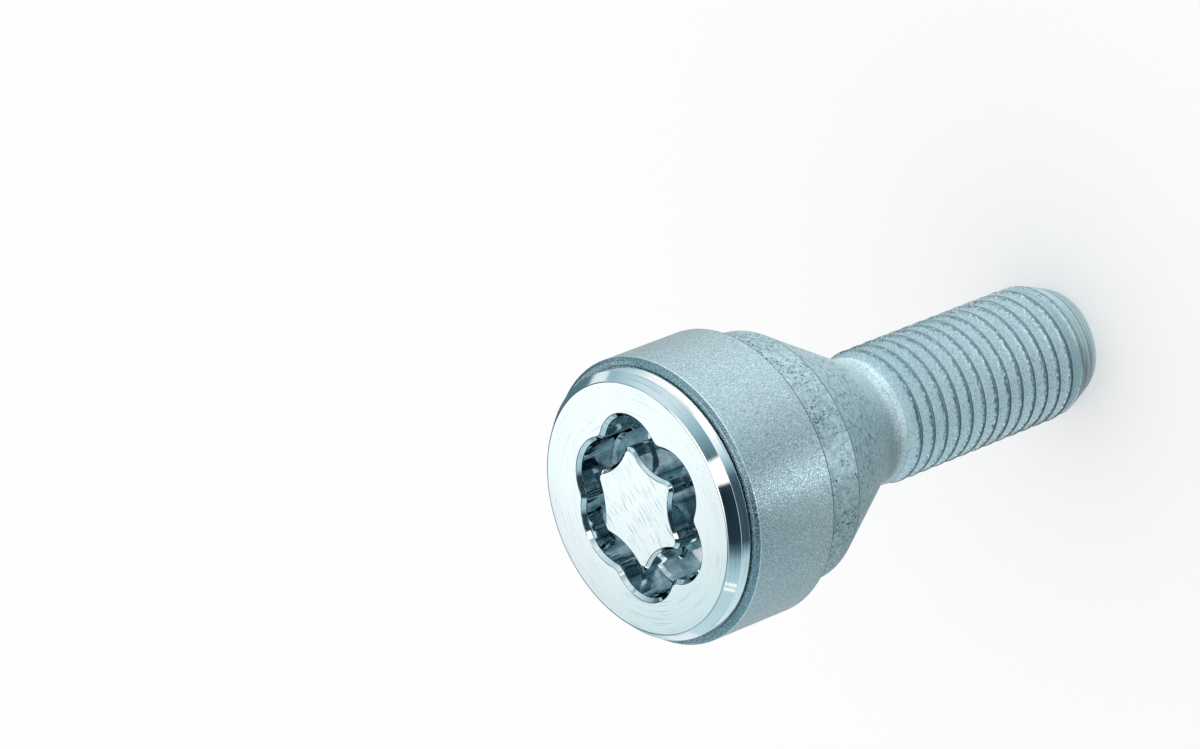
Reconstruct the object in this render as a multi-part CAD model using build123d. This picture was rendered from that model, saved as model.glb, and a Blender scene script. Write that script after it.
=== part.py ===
"""Locking wheel bolt: a one-piece bolt with a lobed key groove, a free-spinning collar and its retaining ring.

Millimetres. The bolt stands on its thread end, with its axis on +Z and the head on top.
"""

import os
from math import cos, hypot, radians, sin, tan

from build123d import *

# Bolt head, from the face down
RIM_STEP = 0.595
RIM_CHAMFER_W = 0.72
RIM_CHAMFER_H = 0.85
RIM_H = 1.76
JOURNAL_D = 21.65
JOURNAL_L = 12.93
SEAT_ANGLE = 60.0
SEAT_FILLET = 2.0

# Shank
NECK_D = 11.0
NECK_L = 3.0
NECK_RISE = 0.6
THREAD_D = 11.85
SHANK_L = 25.2
POINT_D = 9.4
POINT_L = 3.0
POINT_ROUND = 4.0

# Edge breaks of the bolt
RIM_EDGE = 0.2
SEAT_EDGE = 0.3
POINT_EDGE = 0.3

# Key groove in the face. Each lobe has its own reach and its own width before the corners are rounded,
# which are the key's code. The waists between the lobes lie below the shortest lobe.
KEY_REACH = (7.73, 7.78, 7.03, 7.03, 7.68, 7.65)
KEY_WIDTH = (1.4, 1.2, 1.8, 1.85, 1.25, 1.15)
KEY_FIRST_LOBE = -82.3
KEY_WAIST_DROP = 0.78
KEY_VALLEY_R = 4.05
KEY_DEPTH = 4.0
KEY_WALL_BEVEL = 0.34
KEY_ISLAND_BEVEL = 0.28
KEY_WAIST_FILLET = 1.2
KEY_TIP_FILLET = 0.8

# Collar
COLLAR_WALL = 1.295
COLLAR_L = 8.6
COLLAR_CLEARANCE = 0.08
COLLAR_END_GAP = 0.15
COLLAR_CHAMFER = 0.28
COLLAR_REAR_EDGE = 0.15

# Retaining ring, sprung out into a groove of the collar and reaching into a groove of the journal
RING_H = 1.0
RING_T = 1.2
RING_OPENING = 3.0
RING_FROM_RIM = 4.3
RING_IN_COLLAR = 0.6
RING_PLAY = 0.1
RING_SEAT_GAP = 0.03

# Radii of the bolt
neck_r = NECK_D / 2
thread_r = THREAD_D / 2
journal_r = JOURNAL_D / 2
rim_r = journal_r + RIM_STEP
face_r = rim_r - RIM_CHAMFER_W

# Heights above the thread end
seat_h = (journal_r - neck_r) / tan(radians(SEAT_ANGLE / 2))
seat_bottom_z = SHANK_L
seat_top_z = seat_bottom_z + seat_h
rim_bottom_z = seat_top_z + JOURNAL_L
face_z = rim_bottom_z + RIM_H
thread_top_z = SHANK_L - NECK_L
collar_top_z = rim_bottom_z - COLLAR_END_GAP
ring_top_z = rim_bottom_z - RING_FROM_RIM + RING_H / 2
ring_bottom_z = ring_top_z - RING_H

# Angle between two lobes of the key groove, and radius of its waists
lobe_step = 360.0 / len(KEY_REACH)
waist_r = min(KEY_REACH) - KEY_WAIST_DROP

# Radii of the running fit and of the ring
bore_r = journal_r + COLLAR_CLEARANCE
collar_r = bore_r + COLLAR_WALL
collar_groove_r = bore_r + RING_IN_COLLAR
ring_outer_r = collar_groove_r - RING_SEAT_GAP
ring_inner_r = ring_outer_r - RING_T
journal_groove_r = journal_r - RING_T - RING_PLAY


def polar(radius, angle):
    """Point on the face at a radius and an angle in degrees."""
    return (radius * cos(radians(angle)), radius * sin(radians(angle)))


def turned(points):
    """Solid of revolution about Z from (radius, height) points of its closed half section."""
    half_section = make_face(Polyline(*[(r, 0, z) for r, z in points], close=True))
    return revolve(half_section, Axis.Z, 360)


def ring_edges(solid, radius, height):
    """Circular edges of a turned solid at one radius and height."""
    circles = solid.edges().filter_by(GeomType.CIRCLE)
    near = 1e-4
    return circles.filter_by(lambda e: abs(e.radius - radius) < near and abs(e.arc_center.Z - height) < near)


def face_loop(solid, from_r, to_r):
    """Edges on the face whose middle lies between two radii."""
    on_face = solid.edges().filter_by(lambda e: e.center().Z > face_z - 1e-4)
    return on_face.filter_by(lambda e: from_r < hypot((e @ 0.5).X, (e @ 0.5).Y) < to_r)


def wavy_loop(outer_points, inner_points):
    """Closed loop of arcs: each runs from one outer point through the inner point that follows it to the next."""
    ends = list(outer_points) + [outer_points[0]]
    arcs = []
    for start, middle, end in zip(ends, inner_points, ends[1:]):
        arcs.append(ThreePointArc(start, middle, end))
    return make_face(Curve() + arcs)


def key_groove():
    """Band between the lobed outer wall and the star-shaped island, as deep as the key reaches."""
    waists = []
    peaks = []
    tips = []
    valleys = []
    for index, (reach, width) in enumerate(zip(KEY_REACH, KEY_WIDTH)):
        lobe_angle = KEY_FIRST_LOBE + index * lobe_step
        waists.append(polar(waist_r, lobe_angle - lobe_step / 2))
        peaks.append(polar(reach, lobe_angle))
        tips.append(polar(reach - width, lobe_angle))
        valleys.append(polar(KEY_VALLEY_R, lobe_angle + lobe_step / 2))
    wall = wavy_loop(waists, peaks)
    wall = fillet(wall.vertices(), KEY_WAIST_FILLET)
    island = wavy_loop(tips, valleys)
    island = fillet(island.vertices(), KEY_TIP_FILLET)
    return extrude(Pos(0, 0, face_z - KEY_DEPTH) * (wall - island), KEY_DEPTH)


def bolt():
    """One-piece bolt: key groove, rim, journal with the ring's groove, cone seat, neck and shank."""
    body = turned([
        (0, 0),
        (POINT_D / 2, 0),
        (thread_r, POINT_L),
        (thread_r, thread_top_z - NECK_RISE),
        (neck_r, thread_top_z),
        (neck_r, seat_bottom_z),
        (journal_r, seat_top_z),
        (journal_r, rim_bottom_z),
        (rim_r, rim_bottom_z),
        (rim_r, face_z - RIM_CHAMFER_H),
        (face_r, face_z),
        (0, face_z),
    ])
    body = fillet(ring_edges(body, neck_r, seat_bottom_z), SEAT_FILLET)
    body = fillet(ring_edges(body, journal_r, seat_top_z), SEAT_EDGE)
    body = fillet(ring_edges(body, thread_r, POINT_L), POINT_ROUND)
    body = fillet(ring_edges(body, POINT_D / 2, 0), POINT_EDGE)
    body = fillet(ring_edges(body, rim_r, face_z - RIM_CHAMFER_H), RIM_EDGE)
    ring_groove = turned([
        (journal_groove_r, ring_bottom_z - RING_PLAY),
        (collar_groove_r, ring_bottom_z - RING_PLAY),
        (collar_groove_r, ring_top_z + RING_PLAY),
        (journal_groove_r, ring_top_z + RING_PLAY),
    ])
    body -= ring_groove
    body -= key_groove()
    body = chamfer(face_loop(body, waist_r, max(KEY_REACH) + KEY_WALL_BEVEL), KEY_WALL_BEVEL)
    return chamfer(face_loop(body, 0, waist_r), KEY_ISLAND_BEVEL)


def collar():
    """Sleeve that runs on the journal, with a chamfered front edge and an inner groove for the ring."""
    bottom_z = collar_top_z - COLLAR_L
    body = turned([
        (bore_r, bottom_z),
        (collar_r, bottom_z),
        (collar_r, collar_top_z),
        (bore_r, collar_top_z),
    ])
    body = chamfer(ring_edges(body, collar_r, collar_top_z), COLLAR_CHAMFER)
    body = chamfer(ring_edges(body, collar_r, bottom_z), COLLAR_REAR_EDGE)
    inner_groove = turned([
        (0, ring_bottom_z - RING_SEAT_GAP),
        (collar_groove_r, ring_bottom_z - RING_SEAT_GAP),
        (collar_groove_r, ring_top_z + RING_SEAT_GAP),
        (0, ring_top_z + RING_SEAT_GAP),
    ])
    return body - inner_groove


def retaining_ring():
    """Split spring ring of rectangular section."""
    band = turned([
        (ring_inner_r, ring_bottom_z),
        (ring_outer_r, ring_bottom_z),
        (ring_outer_r, ring_top_z),
        (ring_inner_r, ring_top_z),
    ])
    opening = Pos(0, ring_outer_r, ring_bottom_z + RING_H / 2) * Box(RING_OPENING, ring_outer_r, 2 * RING_H)
    return band - opening


os.makedirs("parts", exist_ok=True)
for name, solid in (("bolt", bolt()), ("collar", collar()), ("retaining_ring", retaining_ring())):
    export_step(solid, "parts/" + name + ".step")
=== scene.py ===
"""Looks of a locking wheel bolt: bright head with a lobed key groove, spinning collar and rolled thread."""

from math import atan2, cos, pi, radians, sin, sqrt, tan

import bmesh
import bpy
from mathutils import Matrix, Vector


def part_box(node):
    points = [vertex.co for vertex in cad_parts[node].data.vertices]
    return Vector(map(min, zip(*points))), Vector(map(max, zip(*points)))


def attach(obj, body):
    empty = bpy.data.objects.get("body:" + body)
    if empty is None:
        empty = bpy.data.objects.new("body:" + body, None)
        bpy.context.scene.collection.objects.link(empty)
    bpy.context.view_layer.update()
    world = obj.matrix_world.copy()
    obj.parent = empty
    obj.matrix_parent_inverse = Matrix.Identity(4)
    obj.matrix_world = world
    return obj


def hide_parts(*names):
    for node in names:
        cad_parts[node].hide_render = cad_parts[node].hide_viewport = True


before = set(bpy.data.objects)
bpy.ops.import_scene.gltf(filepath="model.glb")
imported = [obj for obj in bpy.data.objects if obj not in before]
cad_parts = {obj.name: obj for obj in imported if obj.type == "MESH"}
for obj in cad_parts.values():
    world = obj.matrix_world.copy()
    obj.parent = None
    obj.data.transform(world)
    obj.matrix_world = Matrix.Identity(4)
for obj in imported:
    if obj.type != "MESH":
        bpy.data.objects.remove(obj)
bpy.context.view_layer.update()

MM = 0.001

# Heights and radii that the frame gives, in millimetres
collar_low, collar_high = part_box("collar")
FACE_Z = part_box("bolt")[1].z / MM
COLLAR_R = collar_high.x / MM
COLLAR_TOP_Z = collar_high.z / MM
COLLAR_BOTTOM_Z = collar_low.z / MM

# Bolt head, in millimetres. The rim's wall leans out slightly towards the collar.
JOURNAL_R = 10.825
JOURNAL_L = 12.93
RIM_STEP = 0.595
RIM_LEAN = 0.135
RIM_H = 1.76
RIM_CHAMFER_W = 0.72
RIM_CHAMFER_H = 0.85
RIM_EDGE = 0.2
RIM_REAR_EDGE = 0.12
FACE_EDGE = 0.22
SEAT_BOTTOM_Z = 25.2
SEAT_FILLET = 2.0
SEAT_EDGE = 0.3
RIM_R = JOURNAL_R + RIM_STEP
RIM_FOOT_R = RIM_R + RIM_LEAN
FACE_R = RIM_R - RIM_CHAMFER_W
RIM_BOTTOM_Z = FACE_Z - RIM_H
SEAT_TOP_Z = RIM_BOTTOM_Z - JOURNAL_L

# Rings of the flat face outside the key groove, where the columns thin out
FACE_RING_R = 8.6
FACE_RING_OUTER_R = 9.6

# Key groove: reach and width of each lobe, waists between them, and the island inside
KEY_REACH = (7.73, 7.78, 7.03, 7.03, 7.68, 7.65)
KEY_WIDTH = (1.4, 1.2, 1.8, 1.85, 1.25, 1.15)
KEY_FIRST_LOBE = -82.3
KEY_WAIST_DROP = 0.78
KEY_WAIST_R = min(KEY_REACH) - KEY_WAIST_DROP
KEY_VALLEY_R = 4.05
KEY_DEPTH = 4.0
KEY_WALL_LIP = 0.34
KEY_ISLAND_LIP = 0.28
KEY_LIP_EDGE = 0.09
KEY_LIP_LEAD = 0.1
KEY_WAIST_FILLET = 1.2
KEY_TIP_FILLET = 0.8
KEY_FLOOR_FILLET = 0.25
LOBES = len(KEY_REACH)
LOBE_STEP = 2 * pi / LOBES

# Rings of the key groove: depths on its walls, and shares of the way across its floor and its island
WALL_DEPTHS = (0.8, 1.6, 2.6, KEY_DEPTH - KEY_FLOOR_FILLET)
FLOOR_SHARES = (0.12, 0.5, 0.88)
ISLAND_SHARES = (0.3, 0.7)

# Shank with a rolled M12 x 1.5 thread
NECK_R = 5.5
THREAD_R = 5.925
PITCH = 1.5
FLANK_LEAN = radians(30)
CREST_ROUND = 0.25
ROOT_ROUND = 0.13
THREAD_DEPTH = PITCH / 2 / tan(FLANK_LEAN) - CREST_ROUND - ROOT_ROUND
THREAD_CREST_Z = 21.27
THREAD_TOP_Z = 24.25
THREAD_RUN_IN = 1.6
POINT_R = 4.7
POINT_L = 3.0
POINT_ROUND = 4.0
POINT_EDGE = 0.3
POINT_EDGE_ROUND = 0.24
POINT_SLOPE = (THREAD_R - POINT_R) / POINT_L

# Rows of the thread from a crest to the root below it, as shares of the pitch, and turns past either end
THREAD_ROWS = (0, 0.043, 0.083, 0.118, 0.144, 0.165, 0.405, 0.425, 0.46, 0.5)
SPARE_TURNS = 2

# Collar, and the grooves in it and in the journal that hold the retaining ring
COLLAR_CLEARANCE = 0.08
COLLAR_CHAMFER = 0.28
COLLAR_EDGE = 0.05
# Band behind the collar's front corner of worn zinc with a painted highlight
COLLAR_WEAR_SHEEN = 0.12
COLLAR_REAR_EDGE = 0.15
RING_H = 1.0
RING_FROM_RIM = 4.3
RING_IN_COLLAR = 0.6
COLLAR_GROOVE_GAP = 0.03
JOURNAL_GROOVE_DEPTH = 1.3
JOURNAL_GROOVE_PLAY = 0.1
COLLAR_BORE_R = JOURNAL_R + COLLAR_CLEARANCE
COLLAR_GROOVE_R = COLLAR_BORE_R + RING_IN_COLLAR
JOURNAL_GROOVE_R = JOURNAL_R - JOURNAL_GROOVE_DEPTH
RING_TOP_Z = RIM_BOTTOM_Z - RING_FROM_RIM + RING_H / 2
RING_BOTTOM_Z = RING_TOP_Z - RING_H

# Columns round the axis, crowded towards the corners of the key groove
HEAD_COLUMNS = 400
BODY_COLUMNS = 200
CROWDING = 0.4
FIRST_COLUMN = radians(KEY_FIRST_LOBE + 180)

# Roundings: their steps, and the distance to the ring beside either end
ROUND_STEPS = 5
GUARD = 0.04

# Points closer than this are one point, and edges sharper than this angle in degrees stay sharp
WELD = 0.0008
SHARP_ANGLE = 24

# Finishes of the bolt and of the collar, in the order of their material slots
FACE, LIP_EDGE, BRIGHT, GROOVE, HIDDEN, JOURNAL, CONE, THREAD = range(8)
SLEEVE, FRONT, CHAMFER, WORN_SHEEN, BORE = range(5)

# Camera: a long lens above the face, turned on its side
CAMERA_SENSOR = 36
CAMERA_LENS = 198
CAMERA_CLIP = (0.01, 50)
CAMERA_PLACE = Vector((-0.00006, -0.41884, 0.37885))
CAMERA_TURN = -1.54
CAMERA_ELEVATION = 38.34
CAMERA_ROLL = -110.65

# Light tent round the bolt, as (radius, height) of its half section in millimetres
TENT_R = 60
TENT_TOP_Z = 150
TENT_SECTION = ((5.2, 0.2), (26, 2.0), (TENT_R, 60), (TENT_R, TENT_TOP_Z))
TENT_COLUMNS = 96

# Screens and flags of the tent in bands from the table up, as azimuth in degrees and brightness
FOOT_SCREENS = (
    (-180, 0.5), (-146, 0.4), (-126, 0.3), (-106, 0.35), (-86, 0.55), (-46, 0.72), (0, 0.6),
    (90, 0.5), (180, 0.5),
)
TABLE_SCREENS = (
    (-180, 0.26), (-150, 0.16), (-128, 0.06), (-105, 0.1), (-88, 0.24), (-48, 0.85), (-8, 0.95),
    (60, 0.8), (180, 0.28),
)
APRON_SCREENS = (
    (-180, 0.24), (-150, 0.22), (-120, 0.45), (-80, 0.88), (-40, 1.15), (0, 1.1), (40, 0.95),
    (80, 0.7), (180, 0.24),
)
LOW_SCREENS = (
    (-180, 0.3), (-160, 0.31), (-142, 0.4), (-120, 0.58), (-80, 0.98), (-58, 1.2), (-40, 1.3),
    (0, 1.24), (40, 1.05), (80, 0.72), (120, 0.42), (145, 0.32), (180, 0.3),
)
BEAM_SCREENS = (
    (-180, 0.58), (-160, 0.55), (-142, 0.6), (-126, 0.7), (-117, 0.85), (-114, 1.95), (-105, 1.95),
    (-102, 0.8), (-92, 0.64), (-75, 0.58), (-58, 0.88), (-40, 1.06), (-23, 1.1), (-5, 0.96),
    (12, 0.85), (32, 0.66), (50, 0.58), (90, 0.54), (145, 0.58), (180, 0.58),
)
MIDDLE_SCREENS = (
    (-180, 0.74), (-165, 0.7), (-150, 0.62), (-143, 0.3), (-138, 0.08), (-100, 0.08), (-93, 0.13),
    (-86, 0.42), (-75, 0.8), (-62, 1.05), (0, 1.0), (10, 0.78), (25, 0.58), (35, 0.34), (44, 0.18),
    (60, 0.18), (95, 0.2), (112, 0.5), (125, 0.85), (145, 0.9), (165, 0.76), (180, 0.74),
)
STRIP_SCREENS = (
    (-180, 0.64), (-165, 0.6), (-150, 0.7), (-60, 0.8), (-40, 0.6), (-28, 0.7), (-13, 0.78),
    (2, 0.74), (15, 0.6), (24, 0.48), (28, 0.48), (30, 0.85), (41, 0.85), (44, 0.2), (60, 0.1),
    (120, 0.1), (135, 0.7), (160, 0.66), (180, 0.64),
)
HIGH_SCREENS = (
    (-180, 0.64), (-178, 0.64), (-177.5, 1.2), (-176.5, 1.2), (-176, 0.62), (-174.5, 0.62),
    (-174, 1.2), (-173, 1.2), (-172.5, 0.6), (-165, 0.57), (-155, 0.4), (-148, 0.1), (-140, 0.04),
    (-98, 0.04), (-96, 1.3), (-78, 1.3), (-75, 0.2), (-60, 0.3), (-40, 0.55), (-28, 0.74),
    (-13, 0.8), (2, 0.74), (15, 0.6), (40, 0.4), (44, 0.15), (60, 0.1), (120, 0.1), (135, 0.66),
    (180, 0.64),
)
TOP_SCREENS = (
    (-180, 0.6), (-160, 0.5), (-150, 0.24), (-143, 0.035), (-98, 0.03), (-96, 1.3), (-78, 1.3),
    (-75, 0.16), (-62, 0.3), (-45, 0.54), (-28, 0.78), (0, 0.7), (40, 0.5), (58, 0.1), (62, 0.15),
    (68, 1.2), (86, 1.2), (90, 1.12), (95, 1.0), (101, 0.86), (112, 0.65), (120, 0.15),
    (135, 0.4), (180, 0.6),
)
CANOPY_SCREENS = (
    (-180, 0.5), (-152, 0.5), (-145, 0.05), (-98, 0.04), (-96, 1.2), (-76, 1.2), (-72, 0.5),
    (-40, 0.9), (40, 0.9), (58, 0.1), (122, 0.1), (140, 0.5), (180, 0.5),
)
TENT_BANDS = (
    FOOT_SCREENS,
    TABLE_SCREENS,
    APRON_SCREENS,
    LOW_SCREENS,
    BEAM_SCREENS,
    MIDDLE_SCREENS,
    STRIP_SCREENS,
    HIGH_SCREENS,
    TOP_SCREENS,
    CANOPY_SCREENS,
)

# Bands that take the studio's tint, from the middle up
TINTED_BANDS = TENT_BANDS[TENT_BANDS.index(MIDDLE_SCREENS):]

# Ceiling of the tent, as millimetres across it and brightness, and the share of the flag that shades one side
CEILING_SCREENS = ((-60, 0.2), (-42, 0.6), (0, 2.9), (50, 2.9), (60, 1.6))
CEILING_FLAG = ((16, 0.0), (28, 1.0))
FLAG_LEVEL = 0.1

# Heights in millimetres over which each band of the tent passes into the next, and the last into the ceiling
TENT_PASSAGES = (
    (0.5, 0.7),
    (0.95, 1.15),
    (2.0, 3.0),
    (12.0, 13.5),
    (25.5, 27.5),
    (43.5, 45.5),
    (60.0, 63.0),
    (78.0, 86.0),
    (117.0, 121.0),
    (149.0, 149.9),
)

# Tint of the studio's greys: powers of the level for red and for blue, and how they change with the level
RED_POWER = 1.2
RED_POWER_RISE = 0.85
BLUE_POWER = 0.9
BLUE_POWER_FALL = 0.15

# Colours of the metals
FACED_STEEL = (0.86, 0.965, 0.98)
BRIGHT_STEEL = (0.96, 0.98, 0.985)
SCRATCHED_STEEL = (0.36, 0.5, 0.55)
# Colour of pits and flecks, also painted as shade by the collar, along the cone's edge and in the grooves of
# the point
PIT_AND_SHADE_COLOUR = (0.12, 0.2, 0.24)
# White of the painted glints on the crests and the point
SPARK_COLOUR = (0.95, 1.0, 1.0)
# Painted shade along the thread's crests
CREST_SHADE_COLOUR = (0.16, 0.25, 0.29)
POINT_COLOUR = (0.5, 0.7, 0.76)

# Tones of the metals from deep over middle to pale, and the steps of the grain at which they come
COLLAR_TONES = ((0.28, 0.42, 0.47), (0.46, 0.625, 0.675), (0.72, 0.88, 0.92))
# Darker copies of the collar's zinc on its front face and chamfer, painted as the shade by the rim
FRONT_SHADE_TONES = ((0.2, 0.3, 0.34), (0.36, 0.5, 0.55), (0.6, 0.75, 0.8))
CHAMFER_SHADE_TONES = ((0.16, 0.26, 0.3), (0.27, 0.4, 0.45), (0.5, 0.66, 0.72))
# Pale worn zinc round the collar's front corner, painted paler still as a highlight
WORN_SHEEN_TONES = ((0.5, 0.66, 0.71), (0.8, 0.91, 0.94), (0.98, 1.0, 1.0))
CONE_TONES = ((0.27, 0.43, 0.48), (0.4, 0.61, 0.67), (0.56, 0.78, 0.84))
NECK_TONES = ((0.32, 0.48, 0.53), (0.54, 0.72, 0.78), (0.78, 0.95, 0.99))
FLANK_TONES = ((0.45, 0.6, 0.65), (0.62, 0.77, 0.82), (0.8, 0.94, 0.98))
# Pale run-in, also painted on the thread's roots as painted light
RUN_IN_AND_ROOT_SHEEN_TONES = ((0.42, 0.59, 0.64), (0.68, 0.88, 0.94), (0.9, 1.0, 1.0))
CREST_TONES = ((0.36, 0.5, 0.55), (0.54, 0.7, 0.75), (0.74, 0.9, 0.94))
GRAIN_STEPS = (0.28, 0.5, 0.72)
JOURNAL_TONES = ((0.29, 0.44, 0.49), (0.45, 0.63, 0.68), (0.64, 0.82, 0.87))
JOURNAL_STEPS = (0.36, 0.5, 0.64)
# Painted dark outline on the lips' edges, standing in for their dark reflections, rubbed bright in places
EDGE_SHADE_TONES = ((0.1, 0.16, 0.19), (0.2, 0.29, 0.33), (0.5, 0.6, 0.64))
EDGE_STEPS = (0.4, 0.52, 0.62)
GROOVE_TONES = ((0.35, 0.42, 0.45), (0.5, 0.58, 0.61), (0.62, 0.71, 0.74))
GROOVE_STEPS = (0.36, 0.46, 0.6)
# Oily steel painted near-black as the shade of the running gap
OIL_AND_SHADE_TONES = ((0.02, 0.03, 0.04), (0.06, 0.08, 0.09))
SPRING_TONES = ((0.24, 0.25, 0.26), (0.36, 0.37, 0.38))
DARK_STEPS = (0.35, 0.65)

# Places at which the finishes change, as radii or heights in millimetres from none to full
ISLAND_R = (6.1, 5.9)
NECK_TO_CONE_Z = (26.6, 29.0)
CONE_EDGE_SHADE_Z = (SEAT_TOP_Z - 0.16, SEAT_TOP_Z - 0.04)
# Painted shade on the journal next to the collar
COLLAR_SHADE_Z = (COLLAR_BOTTOM_Z - 1.9, COLLAR_BOTTOM_Z)
SHANK_TO_NECK_Z = (22.9, 23.7)
SHANK_TO_POINT_Z = (4.2, 2.4)
# Painted groove shade on the point
END_GROOVE_SHADE_Z = (0.7, 1.1)

# The same on the thread's turns, as radii with their raggedness in them
RAGGEDNESS = 0.3
CREST_R = (5.82, 5.92)
# Painted shade along the crests
CREST_SHADE_R = (5.96, 6.03)
# Painted glints beside the crests' painted shade
SPARK_R = (6.04, 5.96)
# Flanks painted paler towards the root as painted light
ROOT_SHEEN_R = (5.6, 5.15)

# Lines of painted groove shade on the point, as turns from one to the next
END_GROOVE_SPACING = 0.5

# Lean of the grinding marks on the island, in degrees
GRINDING_ANGLE = 13.3

# Roughness of the glossy flakes in the zinc
FLAKE_ROUGHNESS = 0.15

# Floor: its side in metres, its paint, and the glow that lifts it to white
FLOOR_SIZE = 4.0
FLOOR_PAINT = 0.7
FLOOR_GLOW = 0.3


def polar(radius, angle):
    """Point at a radius and an angle in radians."""
    return Vector((radius * cos(angle), radius * sin(angle)))


def smooth(value):
    """Soft step from 0 to 1."""
    t = min(max(value, 0.0), 1.0)
    return t * t * (3 - 2 * t)


def column_angles(count):
    """Angles round the axis, closer together at the lobes and the waists of the key groove."""
    angles = []
    for index in range(count):
        turn = 2 * pi * index / count
        angles.append(FIRST_COLUMN + turn - CROWDING * sin(2 * LOBES * turn) / (2 * LOBES))
    return angles


HEAD_ANGLES = column_angles(HEAD_COLUMNS)
BODY_ANGLES = column_angles(BODY_COLUMNS)


def circle_through(a, b, c):
    """Centre and radius of the circle through three points."""
    ab = b - a
    ac = c - a
    area = 2 * (ab.x * ac.y - ab.y * ac.x)
    x = (ac.y * ab.length_squared - ab.y * ac.length_squared) / area
    y = (ab.x * ac.length_squared - ac.x * ab.length_squared) / area
    centre = a + Vector((x, y))
    return centre, (a - centre).length


def circle_touching(first, second, radius, corner):
    """Centre of the circle of a radius that touches two others from outside, near their corner."""
    reach_a = first[1] + radius
    reach_b = second[1] + radius
    apart = second[0] - first[0]
    along = (apart.length_squared + reach_a ** 2 - reach_b ** 2) / (2 * apart.length)
    across = sqrt(reach_a ** 2 - along ** 2)
    foot = first[0] + apart.normalized() * along
    side = Vector((-apart.y, apart.x)).normalized() * across
    return min((foot + side, foot - side), key=lambda point: (point - corner).length)


def ray_to_circle(angle, centre, radius, far):
    """Distance from the axis to the near or far side of a circle, at an angle."""
    along = centre.x * cos(angle) + centre.y * sin(angle)
    inside = max(along ** 2 - centre.length_squared + radius ** 2, 0.0)
    return along + sqrt(inside) if far else along - sqrt(inside)


def turned_from(start, angle):
    """Turn from one angle to another, between minus and plus half a turn."""
    return (angle - start + pi) % (2 * pi) - pi


class WavyLoop:
    """Closed loop of arcs with rounded corners, read as a radius at each angle."""

    def __init__(self, corners, middles, fillet, far):
        self.far = far
        self.fillet = fillet
        ends = corners[1:] + corners[:1]
        self.arcs = [circle_through(a, m, b) for a, m, b in zip(corners, middles, ends)]
        self.rounds = []
        for index, corner in enumerate(corners):
            touching = circle_touching(self.arcs[index - 1], self.arcs[index], fillet, corner)
            self.rounds.append((touching, atan2(corner.y, corner.x)))

    def radius(self, angle, grow):
        """Radius at an angle, with every arc's circle larger by grow and every rounding smaller."""
        index = min(range(len(self.rounds)), key=lambda i: abs(turned_from(self.rounds[i][1], angle)))
        centre, corner_angle = self.rounds[index]
        off = turned_from(corner_angle, angle)
        arc_centre, arc_radius = self.arcs[index] if off > 0 else self.arcs[index - 1]
        contact = arc_centre + (centre - arc_centre).normalized() * (arc_radius + grow)
        contact_off = turned_from(corner_angle, atan2(contact.y, contact.x))
        if abs(off) < abs(contact_off):
            return ray_to_circle(angle, centre, self.fillet - grow, not self.far)
        return ray_to_circle(angle, arc_centre, arc_radius + grow, self.far)


def key_loops():
    """Outer wall and island of the key groove."""
    waists = []
    peaks = []
    tips = []
    valleys = []
    for index, (reach, width) in enumerate(zip(KEY_REACH, KEY_WIDTH)):
        lobe = radians(KEY_FIRST_LOBE) + index * LOBE_STEP
        waists.append(polar(KEY_WAIST_R, lobe - LOBE_STEP / 2))
        peaks.append(polar(reach, lobe))
        tips.append(polar(reach - width, lobe))
        valleys.append(polar(KEY_VALLEY_R, lobe + LOBE_STEP / 2))
    wall = WavyLoop(waists, peaks, KEY_WAIST_FILLET, far=True)
    island = WavyLoop(tips, valleys, KEY_TIP_FILLET, far=False)
    return wall, island


def placed(name, data):
    """Object in the scene that holds a mesh or a camera."""
    holder = bpy.data.objects.new(name, data)
    bpy.context.scene.collection.objects.link(holder)
    return holder


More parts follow.
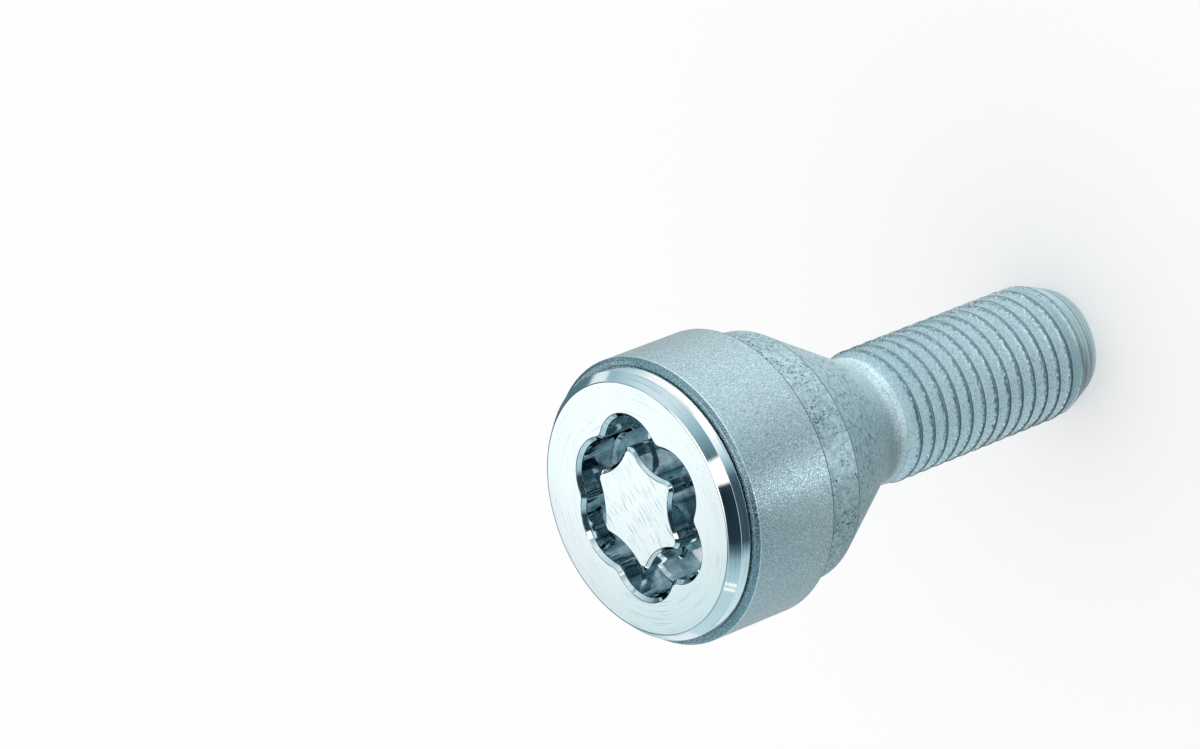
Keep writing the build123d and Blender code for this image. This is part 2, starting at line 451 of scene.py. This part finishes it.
class Lathe:
    """Mesh of rings round the axis, each joined to the one before it, with a finish for each band."""

    def __init__(self):
        self.points = []
        self.faces = []
        self.finishes = []
        self.last = None

    def add_points(self, points):
        """Adds points in millimetres and gives their numbers."""
        first = len(self.points)
        self.points.extend(Vector(point) * MM for point in points)
        return list(range(first, len(self.points)))

    def add_face(self, corners, finish):
        """Adds one face with its finish."""
        self.faces.append(corners)
        self.finishes.append(finish)

    def ring(self, radii, height, angles, finish):
        """Adds a ring at one height and joins it to the last one."""
        points = [(r * cos(a), r * sin(a), height) for r, a in zip(radii, angles)]
        new = self.add_points(points)
        if self.last is not None:
            self.join(self.last, new, finish)
        self.last = new

    def circle(self, radius, height, angles, finish):
        """Adds a round ring."""
        self.ring([radius] * len(angles), height, angles, finish)

    def centre(self, height, finish):
        """Adds a point on the axis, to start from or to close with."""
        self.circle(0, height, [0], finish)

    def loop(self, loop, grow, height, finish):
        """Adds a ring that follows a loop of the key groove."""
        self.ring([loop.radius(a, grow) for a in HEAD_ANGLES], height, HEAD_ANGLES, finish)

    def join(self, old, new, finish):
        """Faces between two rings with as many points, half as many in the new one, or one on the axis."""
        if len(new) == 1:
            for i, corner in enumerate(old):
                self.add_face((corner, new[0], old[(i + 1) % len(old)]), finish)
            return
        for i in range(len(new)):
            j = (i + 1) % len(new)
            if len(old) == 1:
                self.add_face((old[0], new[i], new[j]), finish)
            elif len(old) == len(new):
                self.add_face((old[i], new[i], new[j], old[j]), finish)
            else:
                left, middle, right = old[2 * i], old[2 * i + 1], old[(2 * i + 2) % len(old)]
                self.add_face((left, new[i], middle), finish)
                self.add_face((middle, new[i], new[j]), finish)
                self.add_face((middle, new[j], right), finish)

    def piece(self, name, materials):
        """Object with the mesh, welded and shaded smooth except at its sharp edges."""
        mesh = bpy.data.meshes.new(name)
        mesh.from_pydata(self.points, [], self.faces)
        for material in materials:
            mesh.materials.append(material)
        mesh.polygons.foreach_set("material_index", self.finishes)
        work = bmesh.new()
        work.from_mesh(mesh)
        bmesh.ops.remove_doubles(work, verts=work.verts, dist=WELD * MM)
        bmesh.ops.dissolve_degenerate(work, edges=work.edges, dist=WELD * MM)
        work.to_mesh(mesh)
        work.free()
        mesh.shade_smooth()
        mesh.set_sharp_from_angle(angle=radians(SHARP_ANGLE))
        return placed(name, mesh)


def section(corners, edge=None):
    """Rings (radius, height, finish) through (radius, height, rounding, finish) corners of a half section.

    A corner's finish holds from that corner to the next one. Each rounding is an arc, which may have an
    edge finish of its own, with a ring beside either end that keeps the flat stretches flat in the light.
    """
    rings = []
    last = len(corners) - 1
    for index, (r, z, rounding, finish) in enumerate(corners):
        arriving = corners[index - 1][3] if index else finish
        if rounding == 0 or index in (0, last):
            rings.append((r, z, arriving))
            continue
        corner = Vector((r, z))
        before = (Vector(corners[index - 1][:2]) - corner).normalized()
        after = (Vector(corners[index + 1][:2]) - corner).normalized()
        half = before.angle(after) / 2
        start = corner + before * (rounding / tan(half))
        end = corner + after * (rounding / tan(half))
        centre = corner + (before + after).normalized() * (rounding / sin(half))
        on_arc = finish if edge is None else edge
        rings.append((*(start + before * GUARD), arriving))
        for step in range(ROUND_STEPS + 1):
            spoke = start.lerp(end, step / ROUND_STEPS) - centre
            rings.append((*(centre + spoke.normalized() * rounding), on_arc if step else arriving))
        rings.append((*(end + after * GUARD), finish))
    return rings


def rounded(radius, off):
    """Drop of a circle of a radius from its top, at a distance off to the side."""
    return radius - sqrt(radius ** 2 - off ** 2)


def thread_depth(share):
    """Depth below the crest at a share of the pitch: round crest, straight flank and round root."""
    from_crest = min(share, 1 - share) * PITCH
    from_root = PITCH / 2 - from_crest
    crest_end = CREST_ROUND * cos(FLANK_LEAN)
    if from_crest < crest_end:
        return rounded(CREST_ROUND, from_crest)
    if from_root < ROOT_ROUND * cos(FLANK_LEAN):
        return THREAD_DEPTH - rounded(ROOT_ROUND, from_root)
    return rounded(CREST_ROUND, crest_end) + (from_crest - crest_end) / tan(FLANK_LEAN)


def point_radius(z):
    """Radius of the point at a height, with its shoulder rounded."""
    half = atan2(POINT_SLOPE, 1) / 2
    tangent = POINT_ROUND * tan(half)
    start = POINT_L + tangent
    end = POINT_L - tangent * cos(2 * half)
    if z >= start:
        return THREAD_R
    if z <= end:
        return POINT_R + POINT_SLOPE * z
    return THREAD_R - POINT_ROUND + sqrt(POINT_ROUND ** 2 - (start - z) ** 2)


def shank_radius(z, share):
    """Radius of the threaded shank at a height and a share of the pitch from the crest."""
    rolled = smooth((THREAD_TOP_Z - z) / THREAD_RUN_IN)
    full = THREAD_R - thread_depth(share)
    return min(NECK_R + rolled * (full - NECK_R), point_radius(z))


def add_thread(lathe, top_z, end_z):
    """Thread as rows that climb with the helix, held between two flat rings."""
    shares = THREAD_ROWS + tuple(1 - share for share in reversed(THREAD_ROWS[1:-1]))
    crest_z = THREAD_CREST_Z + PITCH * FIRST_COLUMN / (2 * pi)
    turns = range(-SPARE_TURNS, int((crest_z - end_z) / PITCH) + 1 + SPARE_TURNS)
    angles = BODY_ANGLES + [FIRST_COLUMN + 2 * pi]
    old = None
    for turn in turns:
        for share in shares:
            row = []
            for angle in angles:
                climb = PITCH * (angle - FIRST_COLUMN) / (2 * pi)
                z = min(max(crest_z - PITCH * (turn + share) + climb, end_z), top_z)
                radius = shank_radius(z, ((crest_z + climb - z) / PITCH) % 1)
                row.append((radius * cos(angle), radius * sin(angle), z))
            new = lathe.add_points(row)
            if old:
                for i in range(BODY_COLUMNS):
                    lathe.add_face((old[i], new[i], new[i + 1], old[i + 1]), THREAD)
            old = new
    lathe.last = None


def lip(size):
    """Rings (distance from the wall, height, finish) of a lip whose rounded edges carry a painted dark
    outline, from face to wall.
    """
    corners = [
        (size + KEY_LIP_LEAD, FACE_Z, 0, FACE),
        (size, FACE_Z, KEY_LIP_EDGE, BRIGHT),
        (0, FACE_Z - size, KEY_LIP_EDGE, GROOVE),
        (0, FACE_Z - size - KEY_LIP_LEAD, 0, GROOVE),
    ]
    return section(corners, edge=LIP_EDGE)


def backwards(rings):
    """The same rings from the last to the first, each with the finish of the band that now leads to it."""
    finishes = [rings[-1][2]] + [finish for _, _, finish in reversed(rings)]
    return [(across, z, finish) for (across, z, _), finish in zip(reversed(rings), finishes)]


def bolt_piece(materials):
    """One-piece bolt from the middle of the island, over the key groove and down to the thread's end."""
    lathe = Lathe()
    wall, island = key_loops()
    floor_z = FACE_Z - KEY_DEPTH

    # Island from its middle outwards, with its lip
    lathe.centre(FACE_Z, FACE)
    edge = [island.radius(a, KEY_ISLAND_LIP) for a in HEAD_ANGLES]
    for share in ISLAND_SHARES:
        lathe.ring([share * r for r in edge], FACE_Z, HEAD_ANGLES, FACE)
    for across, z, finish in lip(KEY_ISLAND_LIP):
        lathe.loop(island, across, z, finish)

    # Walls and floor of the groove, with the lip of the outer wall
    for depth in WALL_DEPTHS:
        lathe.loop(island, 0, FACE_Z - depth, GROOVE)
    for share in FLOOR_SHARES:
        middle = [(1 - share) * island.radius(a, 0) + share * wall.radius(a, 0) for a in HEAD_ANGLES]
        lathe.ring(middle, floor_z, HEAD_ANGLES, GROOVE)
    for depth in reversed(WALL_DEPTHS):
        lathe.loop(wall, 0, FACE_Z - depth, GROOVE)
    for across, z, finish in backwards(lip(KEY_WALL_LIP)):
        lathe.loop(wall, across, z, finish)

    # Ring of the face, rim, journal with the ring's groove, cone and neck
    lathe.circle(FACE_RING_R, FACE_Z, HEAD_ANGLES, FACE)
    head = section([
        (FACE_RING_OUTER_R, FACE_Z, 0, FACE),
        (FACE_R, FACE_Z, FACE_EDGE, BRIGHT),
        (RIM_R, FACE_Z - RIM_CHAMFER_H, RIM_EDGE, BRIGHT),
        (RIM_FOOT_R, RIM_BOTTOM_Z, RIM_REAR_EDGE, BRIGHT),
        # Underside of the rim and the journal inside the collar take the painted shade of the gap
        (RIM_R - RIM_REAR_EDGE, RIM_BOTTOM_Z, 0, HIDDEN),
        (JOURNAL_R, RIM_BOTTOM_Z, 0, HIDDEN),
        (JOURNAL_R, RING_TOP_Z + JOURNAL_GROOVE_PLAY, 0, HIDDEN),
        (JOURNAL_GROOVE_R, RING_TOP_Z + JOURNAL_GROOVE_PLAY, 0, HIDDEN),
        (JOURNAL_GROOVE_R, RING_BOTTOM_Z - JOURNAL_GROOVE_PLAY, 0, HIDDEN),
        (JOURNAL_R, RING_BOTTOM_Z - JOURNAL_GROOVE_PLAY, 0, HIDDEN),
        (JOURNAL_R, COLLAR_BOTTOM_Z, 0, JOURNAL),
        (JOURNAL_R, SEAT_TOP_Z, SEAT_EDGE, CONE),
        (NECK_R, SEAT_BOTTOM_Z, SEAT_FILLET, CONE),
        (NECK_R, THREAD_TOP_Z, 0, CONE),
    ])
    for radius, height, finish in head:
        lathe.circle(radius, height, BODY_ANGLES, finish)

    # Thread, point and end face
    add_thread(lathe, THREAD_TOP_Z, POINT_EDGE)
    end = section([
        (point_radius(POINT_EDGE), POINT_EDGE, 0, THREAD),
        (POINT_R, 0, POINT_EDGE_ROUND, THREAD),
        (POINT_R / 2, 0, 0, THREAD),
    ])
    for radius, height, finish in end:
        lathe.circle(radius, height, BODY_ANGLES, finish)
    lathe.centre(0, THREAD)
    return lathe.piece("bolt_body", materials)


def collar_piece(materials):
    """Sleeve with its chamfers and the inner groove of the retaining ring."""
    lathe = Lathe()
    sleeve = section([
        (COLLAR_BORE_R, COLLAR_TOP_Z, 0, FRONT),
        (COLLAR_R - COLLAR_CHAMFER, COLLAR_TOP_Z, COLLAR_EDGE, CHAMFER),
        # Front corner and a narrow band behind it: worn zinc with a painted highlight
        (COLLAR_R, COLLAR_TOP_Z - COLLAR_CHAMFER, COLLAR_EDGE, WORN_SHEEN),
        (COLLAR_R, COLLAR_TOP_Z - COLLAR_CHAMFER - COLLAR_WEAR_SHEEN, 0, SLEEVE),
        (COLLAR_R, COLLAR_BOTTOM_Z, COLLAR_REAR_EDGE, BORE),
        (COLLAR_BORE_R, COLLAR_BOTTOM_Z, 0, BORE),
        (COLLAR_BORE_R, RING_BOTTOM_Z - COLLAR_GROOVE_GAP, 0, BORE),
        (COLLAR_GROOVE_R, RING_BOTTOM_Z - COLLAR_GROOVE_GAP, 0, BORE),
        (COLLAR_GROOVE_R, RING_TOP_Z + COLLAR_GROOVE_GAP, 0, BORE),
        (COLLAR_BORE_R, RING_TOP_Z + COLLAR_GROOVE_GAP, 0, BORE),
        (COLLAR_BORE_R, COLLAR_TOP_Z, 0, BORE),
    ])
    for radius, height, finish in sleeve:
        lathe.circle(radius, height, BODY_ANGLES, finish)
    return lathe.piece("collar_sleeve", materials)


class Nodes:
    """Short form for the nodes of one material, with its places in millimetres."""

    def __init__(self, name):
        self.material = bpy.data.materials.new(name)
        self.material.use_nodes = True
        self.tree = self.material.node_tree
        self.tree.nodes.clear()
        place = self.add("VectorMath", operation="SCALE")
        self.link(self.add("TexCoord").outputs["Object"], place.inputs[0])
        place.inputs["Scale"].default_value = 1 / MM
        self.place = place.outputs[0]
        split = self.add("SeparateXYZ")
        self.link(self.place, split.inputs[0])
        self.x, self.y, self.z = split.outputs
        squares = self.math("ADD", self.times(self.x, self.x), self.times(self.y, self.y))
        self.radius = self.math("SQRT", squares)

    def add(self, kind, **settings):
        """Adds a node and sets its properties."""
        node = self.tree.nodes.new("ShaderNode" + kind)
        for name, value in settings.items():
            setattr(node, name, value)
        return node

    def link(self, source, target):
        """Joins an output to an input."""
        self.tree.links.new(source, target)

    def put(self, socket, value):
        """Sets an input to a number or colour, or joins it to an output."""
        if isinstance(value, bpy.types.NodeSocket):
            self.link(value, socket)
        else:
            socket.default_value = (*value, 1) if isinstance(value, tuple) else value

    def math(self, operation, *values):
        """Result of a sum on numbers or outputs."""
        node = self.add("Math", operation=operation)
        for socket, value in zip(node.inputs, values):
            self.put(socket, value)
        return node.outputs[0]

    def times(self, first, second):
        """Product of two numbers or outputs."""
        return self.math("MULTIPLY", first, second)

    def most(self, first, second):
        """Larger of two numbers or outputs."""
        return self.math("MAXIMUM", first, second)

    def step(self, source, start, end):
        """Grey that goes from 0 to 1 as a number passes from start to end."""
        node = self.add("MapRange")
        self.put(node.inputs[0], source)
        node.inputs[1].default_value = start
        node.inputs[2].default_value = end
        return node.outputs[0]

    def ramp(self, source, stops, low=0.0, high=1.0):
        """Colour or grey from a list of (position, value) stops, with positions between low and high."""
        node = self.add("ValToRGB")
        elements = node.color_ramp.elements
        while len(elements) < len(stops):
            elements.new(0.5)
        for element, (position, value) in zip(elements, stops):
            element.position = (position - low) / (high - low)
            shade = value if isinstance(value, tuple) else (value, value, value)
            element.color = (*shade, 1)
        self.link(self.step(source, low, high), node.inputs[0])
        return node.outputs[0]

    def graded(self, source, tones, steps=GRAIN_STEPS):
        """Colour that goes from tone to tone as a number passes their steps."""
        return self.ramp(source, list(zip(steps, tones)))

    def mix(self, share, first, second):
        """Mix of two colours."""
        node = self.add("Mix", data_type="RGBA")
        for socket, value in zip((node.inputs[0], node.inputs[6], node.inputs[7]), (share, first, second)):
            self.put(socket, value)
        return node.outputs[2]

    def noise(self, vector, scale=1.0, detail=2.0):
        """Soft noise, with scale features to the millimetre."""
        node = self.add("TexNoise")
        self.put(node.inputs["Vector"], vector)
        node.inputs["Scale"].default_value = scale
        node.inputs["Detail"].default_value = detail
        return node.outputs[0]

    def blend(self, *parts):
        """Sum of (output, weight) parts."""
        total = None
        for source, weight in parts:
            part = self.times(source, weight)
            total = part if total is None else self.math("ADD", total, part)
        return total

    def stretched(self, *parts):
        """Vector of three (output, features to the millimetre) parts."""
        node = self.add("CombineXYZ")
        for socket, (source, scale) in zip(node.inputs, parts):
            self.link(self.times(source, scale), socket)
        return node.outputs[0]

    def finish(self, shader):
        """Joins a shader to the output and gives the material."""
        self.link(shader.outputs[0], self.add("OutputMaterial").inputs[0])
        return self.material


class Metal(Nodes):
    """Metal whose colour, polish and relief can vary over the piece."""

    def __init__(self, name, roughness=0.5):
        super().__init__(name)
        self.shader = self.add("BsdfPrincipled")
        self.shader.inputs["Metallic"].default_value = 1.0
        self.shader.inputs["Roughness"].default_value = roughness
        self.finish(self.shader)

    def paint(self, colour):
        """Sets the colour from an output."""
        self.link(colour, self.shader.inputs["Base Color"])

    def polish(self, roughness):
        """Sets the roughness from an output."""
        self.link(roughness, self.shader.inputs["Roughness"])

    def bare(self, metallic):
        """Sets from an output how far the metal lies bare."""
        self.link(metallic, self.shader.inputs["Metallic"])

    def emboss(self, height, depth):
        """Adds a fine relief from an output, with its depth in millimetres."""
        bump = self.add("Bump")
        bump.inputs["Distance"].default_value = depth * MM
        self.link(height, bump.inputs["Height"])
        self.link(bump.outputs[0], self.shader.inputs["Normal"])

    def turned_marks(self, across, along):
        """Noise in rings round the axis, as turning leaves it, fine across the marks and long along them."""
        profile = self.math("SUBTRACT", self.radius, self.z)
        return self.noise(self.stretched((profile, across), (self.x, along), (self.y, along)), detail=3)


def face_finish():
    """Faced steel: turning marks round the ring and straight grinding marks on the island."""
    metal = Metal("faced_steel", roughness=0.2)
    turned = metal.turned_marks(across=21.0, along=0.2)
    lean = radians(GRINDING_ANGLE)
    across = metal.blend((metal.y, cos(lean)), (metal.x, -sin(lean)))
    along = metal.blend((metal.x, cos(lean)), (metal.y, sin(lean)))
    ground = metal.noise(metal.stretched((across, 11.0), (along, 0.5), (metal.z, 1.0)))
    patches = metal.ramp(metal.noise(metal.place, scale=0.3), [(0.4, 0.1), (0.6, 0.8)])
    ring_lines = metal.times(metal.step(turned, 0.41, 0.35), patches)
    island_lines = metal.step(ground, 0.41, 0.34)
    on_island = metal.step(metal.radius, *ISLAND_R)
    lines = metal.mix(on_island, ring_lines, island_lines)
    specks = metal.step(metal.noise(metal.place, scale=5.0), 0.73, 0.76)
    metal.paint(metal.mix(metal.most(lines, specks), FACED_STEEL, SCRATCHED_STEEL))
    metal.emboss(metal.mix(on_island, turned, ground), depth=0.0004)
    return metal.material


def bright_finish():
    """Bright turned steel of the rim and the lips of the groove, with fine rings and a few dark specks."""
    metal = Metal("bright_steel", roughness=0.07)
    marks = metal.turned_marks(across=7.0, along=0.15)
    patches = metal.step(metal.noise(metal.place, scale=0.3), 0.46, 0.6)
    rings = metal.times(metal.step(marks, 0.42, 0.34), patches)
    specks = metal.step(metal.noise(metal.place, scale=6.0), 0.7, 0.75)
    metal.paint(metal.mix(metal.most(rings, specks), BRIGHT_STEEL, SCRATCHED_STEEL))
    metal.emboss(marks, depth=0.002)
    return metal.material


def edge_shade_finish():
    """Dull steel painted dark on the rounded edges of the lips, an outline of painted shade in place of their
    dark reflections, rubbed bright in places.
    """
    metal = Metal("edge_shade_steel", roughness=0.35)
    wear = metal.noise(metal.place, scale=1.5, detail=3)
    metal.paint(metal.graded(wear, EDGE_SHADE_TONES, EDGE_STEPS))
    metal.emboss(wear, depth=0.002)
    return metal.material


def groove_finish():
    """Glossy steel inside the key groove, with dull stains and fine marks drawn down its walls."""
    metal = Metal("groove_steel")
    stains = metal.noise(metal.place, scale=1.1, detail=3)
    drawn = metal.noise(metal.stretched((metal.x, 6.0), (metal.y, 6.0), (metal.z, 0.8)))
    metal.paint(metal.graded(metal.blend((stains, 0.75), (drawn, 0.25)), GROOVE_TONES, GROOVE_STEPS))
    metal.polish(metal.ramp(stains, [(0.35, 0.1), (0.5, 0.04)]))
    metal.emboss(metal.blend((stains, 1.0), (drawn, 0.05)), depth=0.006)
    return metal.material


def zinc_finish(name, tones, roughness):
    """Matte zinc flake: fine grain from deep over middle to pale tones, with some glossy flakes."""
    metal = Metal(name)
    grain = metal.noise(metal.place, scale=7.0, detail=3)
    flakes = metal.noise(metal.place, scale=9.0, detail=1)
    metal.paint(metal.graded(grain, tones))
    metal.polish(metal.ramp(flakes, [(0.5, roughness), (0.62, FLAKE_ROUGHNESS)]))
    metal.emboss(grain, depth=0.025)
    return metal.material


def journal_finish():
    """Zinc flake on the journal: faintly mottled, with swarms of dark pits and painted shade next to the
    collar.
    """
    metal = Metal("journal_zinc", roughness=0.45)
    grain = metal.noise(metal.place, scale=7.0, detail=3)
    mottles = metal.noise(metal.place, scale=1.6, detail=4)
    mottled = metal.blend((mottles, 0.5), (grain, 0.5))
    tone = metal.graded(mottled, JOURNAL_TONES, JOURNAL_STEPS)
    swarms = metal.ramp(metal.noise(metal.place, scale=0.45), [(0.4, 0.3), (0.58, 1.0)])
    pits = metal.step(metal.noise(metal.place, scale=4.4, detail=3), 0.55, 0.61)
    # Painted shade on the journal next to the collar
    shade_film = metal.times(metal.step(metal.z, *COLLAR_SHADE_Z), 0.22)
    dark = metal.most(metal.times(pits, swarms), shade_film)
    metal.paint(metal.mix(dark, tone, PIT_AND_SHADE_COLOUR))
    metal.emboss(mottled, depth=0.03)
    return metal.material


def cone_finish():
    """Zinc flake on the cone, with dark flecks drawn round it and painted shade along its edge, that passes
    into a smooth pale neck.
    """
    metal = Metal("cone_zinc", roughness=0.45)
    grain = metal.noise(metal.place, scale=6.0, detail=3)
    on_cone = metal.step(metal.z, *NECK_TO_CONE_Z)
    tone = metal.mix(on_cone, metal.graded(grain, NECK_TONES), metal.graded(grain, CONE_TONES))
    flecks = metal.times(metal.step(metal.turned_marks(across=9.0, along=2.2), 0.47, 0.39), on_cone)
    # Thin dark line painted at the seat's edge as shade
    edge = metal.step(metal.z, *CONE_EDGE_SHADE_Z)
    dark = metal.times(metal.most(flecks, edge), 0.75)
    metal.paint(metal.mix(dark, tone, PIT_AND_SHADE_COLOUR))
    metal.bare(metal.ramp(on_cone, [(0, 1), (1, 0.6)]))
    metal.emboss(grain, depth=0.02)
    return metal.material


def thread_finish():
    """Zinc flake on the thread: pale flanks, and flecked crests with a dark ragged line of painted shade
    along them.
    """
    metal = Metal("thread_zinc")
    grain = metal.noise(metal.place, scale=6.0, detail=3)
    on_point = metal.step(metal.z, *SHANK_TO_POINT_Z)
    on_neck = metal.step(metal.z, *SHANK_TO_NECK_Z)

    # Root, flank and crest tones, the flanks painted paler towards the root as painted light
    rough_edge = metal.noise(metal.place, scale=3.2, detail=4)
    ragged = metal.blend((metal.radius, 1.0), (rough_edge, RAGGEDNESS))
    crests = metal.step(ragged, *CREST_R)
    pale = metal.graded(grain, RUN_IN_AND_ROOT_SHEEN_TONES)
    # Painted light: the flanks turn paler towards the root
    root_sheen = metal.times(metal.step(metal.radius, *ROOT_SHEEN_R), 0.8)
    flanks = metal.mix(root_sheen, metal.graded(grain, FLANK_TONES), pale)
    tone = metal.mix(crests, flanks, metal.graded(grain, CREST_TONES))

    # Dark ragged line of painted shade along the crests with painted glints beside it, pale neck and plainer
    # point
    chips = metal.noise(metal.stretched((metal.x, 3.5), (metal.y, 3.5), (metal.z, 9.0)))
    # Painted glints on the crests beside the painted shade line
    sparks = metal.times(metal.step(chips, 0.46, 0.36), crests)
    tone = metal.mix(metal.times(metal.step(ragged, *CREST_SHADE_R), 0.9), tone, CREST_SHADE_COLOUR)
    tone = metal.mix(metal.times(sparks, metal.step(ragged, *SPARK_R)), tone, SPARK_COLOUR)
    tone = metal.mix(on_neck, tone, pale)
    tone = metal.mix(metal.times(on_point, 0.8), tone, POINT_COLOUR)

    # Fine pale glint rings and dark turning rings, and thin lines of painted groove shade on the point
    marks = metal.turned_marks(across=11.0, along=0.08)
    glints = metal.times(metal.step(marks, 0.54, 0.64), on_point)
    tone = metal.mix(metal.times(glints, 0.7), tone, SPARK_COLOUR)
    fine = metal.times(metal.step(marks, 0.48, 0.38), 0.9)
    azimuth = metal.math("ARCTAN2", metal.y, metal.x)
    climb = metal.blend((azimuth, 1 / (2 * pi)), (metal.z, -1 / PITCH))
    off_groove = metal.math("PINGPONG", metal.math("ADD", climb, THREAD_CREST_Z / PITCH), END_GROOVE_SPACING / 2)
    groove_shade = metal.step(metal.blend((off_groove, 2.0), (grain, 0.2)), 0.26, 0.16)
    groove_shade = metal.times(groove_shade, metal.step(metal.z, *END_GROOVE_SHADE_Z))
    rings = metal.times(metal.most(groove_shade, fine), on_point)

    # Dark flecks on the crests, and the point's dark rings and painted groove shade
    flecks = metal.times(metal.step(chips, 0.56, 0.66), crests)
    dark = metal.times(metal.most(flecks, rings), 0.65)
    metal.paint(metal.mix(dark, tone, PIT_AND_SHADE_COLOUR))

    # Bare and smoother metal on the crests, bare on the point and the neck
    rubbed = metal.math("SUBTRACT", crests, sparks)
    bare = metal.most(rubbed, metal.most(on_point, on_neck))
    metal.bare(metal.ramp(bare, [(0, 0.6), (1, 1)]))
    metal.polish(metal.ramp(crests, [(0, 0.5), (1, 0.3)]))
    metal.emboss(grain, depth=0.03)
    return metal.material


def gap_shade_finish():
    """Dark oily steel, painted near-black as the shade in the running gap and behind the collar."""
    metal = Metal("oiled_steel_and_gap_shade", roughness=0.5)
    shade_film = metal.noise(metal.place, scale=2.0, detail=3)
    metal.paint(metal.graded(shade_film, OIL_AND_SHADE_TONES, DARK_STEPS))
    return metal.material


def spring_finish():
    """Dark spring steel with fine drawing marks."""
    metal = Metal("spring_steel", roughness=0.4)
    marks = metal.turned_marks(across=4.0, along=0.3)
    metal.paint(metal.graded(marks, SPRING_TONES, DARK_STEPS))
    metal.emboss(marks, depth=0.004)
    return metal.material


def tinted(level):
    """Colour of a grey level in the studio: white at the top, blue-green in the middle and navy below."""
    if level > 1:
        return (level, level, level)
    red = level ** (RED_POWER + RED_POWER_RISE * level)
    blue = level ** (BLUE_POWER - BLUE_POWER_FALL * level)
    return (red, level, blue)


def tent_finish():
    """Glow of the tent: rings of pale screens and dark flags, and a ceiling that is brighter on one side."""
    nodes = Nodes("tent_screens")
    azimuth = nodes.times(nodes.math("ARCTAN2", nodes.y, nodes.x), 180 / pi)
    bands = []
    for screens in TENT_BANDS:
        stops = screens
        if screens in TINTED_BANDS:
            stops = [(angle, tinted(level)) for angle, level in screens]
        bands.append(nodes.ramp(azimuth, stops, -180, 180))
    ceiling = nodes.ramp(nodes.x, CEILING_SCREENS, -TENT_R, TENT_R)
    flag = nodes.ramp(nodes.y, CEILING_FLAG, -TENT_R, TENT_R)
    bands.append(nodes.mix(flag, ceiling, tinted(FLAG_LEVEL)))
    glow = bands[0]
    for band, passage in zip(bands[1:], TENT_PASSAGES):
        glow = nodes.mix(nodes.step(nodes.z, *passage), glow, band)
    emission = nodes.add("Emission")
    nodes.link(glow, emission.inputs[0])
    return nodes.finish(emission)


def tent():
    """Light tent that the metal mirrors, out of the camera's sight and casting no shadow."""
    lathe = Lathe()
    angles = [2 * pi * index / TENT_COLUMNS for index in range(TENT_COLUMNS)]
    for radius, height in TENT_SECTION:
        lathe.circle(radius, height, angles, 0)
    lathe.centre(TENT_TOP_Z, 0)
    piece = lathe.piece("light_tent", [tent_finish()])
    piece.visible_camera = False
    piece.visible_diffuse = False
    piece.visible_shadow = False


def floor_finish():
    """Pale floor that shows white, with the bolt's shadow."""
    nodes = Nodes("floor")
    paint = nodes.add("BsdfDiffuse")
    paint.inputs[0].default_value = (FLOOR_PAINT, FLOOR_PAINT, FLOOR_PAINT, 1)
    glow = nodes.add("Emission")
    light = nodes.add("LightPath")
    shown = nodes.most(light.outputs["Is Camera Ray"], light.outputs["Is Glossy Ray"])
    shown = nodes.most(shown, light.outputs["Is Transmission Ray"])
    nodes.link(nodes.times(shown, FLOOR_GLOW), glow.inputs[1])
    both = nodes.add("AddShader")
    nodes.link(paint.outputs[0], both.inputs[0])
    nodes.link(glow.outputs[0], both.inputs[1])
    return nodes.finish(both)


def floor():
    """Plain pale floor under the bolt."""
    half = FLOOR_SIZE / 2
    corners = [(-half, -half, 0), (half, -half, 0), (half, half, 0), (-half, half, 0)]
    mesh = bpy.data.meshes.new("floor")
    mesh.from_pydata(corners, [], [(0, 1, 2, 3)])
    mesh.materials.append(floor_finish())
    placed("floor", mesh)


def white_world():
    """Even white light from all round."""
    world = bpy.data.worlds.new("studio")
    world.use_nodes = True
    world.node_tree.nodes["Background"].inputs[0].default_value = (1, 1, 1, 1)
    bpy.context.scene.world = world


def camera():
    """Camera at the photograph's viewing angle."""
    data = bpy.data.cameras.new("camera")
    data.sensor_width = CAMERA_SENSOR
    data.lens = CAMERA_LENS
    data.clip_start, data.clip_end = CAMERA_CLIP
    eye = placed("camera", data)
    turn = Matrix.Rotation(radians(CAMERA_TURN), 4, "Z")
    tilt = Matrix.Rotation(radians(90 - CAMERA_ELEVATION), 4, "X")
    roll = Matrix.Rotation(radians(CAMERA_ROLL), 4, "Z")
    eye.matrix_world = Matrix.Translation(CAMERA_PLACE) @ turn @ tilt @ roll
    bpy.context.scene.camera = eye


gap_shade = gap_shade_finish()
bolt = bolt_piece([
    face_finish(),
    edge_shade_finish(),
    bright_finish(),
    groove_finish(),
    gap_shade,
    journal_finish(),
    cone_finish(),
    thread_finish(),
])
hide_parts("bolt")
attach(bolt, "bolt")

collar = collar_piece([
    zinc_finish("collar_zinc", COLLAR_TONES, roughness=0.45),
    # Front face and chamfer in darker copies of the zinc, as painted shade
    zinc_finish("collar_front_shade_zinc", FRONT_SHADE_TONES, roughness=0.6),
    zinc_finish("collar_chamfer_shade_zinc", CHAMFER_SHADE_TONES, roughness=0.5),
    zinc_finish("collar_worn_sheen_zinc", WORN_SHEEN_TONES, roughness=0.4),
    # Bore and rear face of the collar take the painted shade of the gap
    gap_shade,
])
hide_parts("collar")
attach(collar, "collar")

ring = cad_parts["retaining_ring"]
ring.data.materials.clear()
ring.data.materials.append(spring_finish())

floor()
white_world()
tent()
camera()
bpy.context.scene.view_settings.view_transform = "Standard"
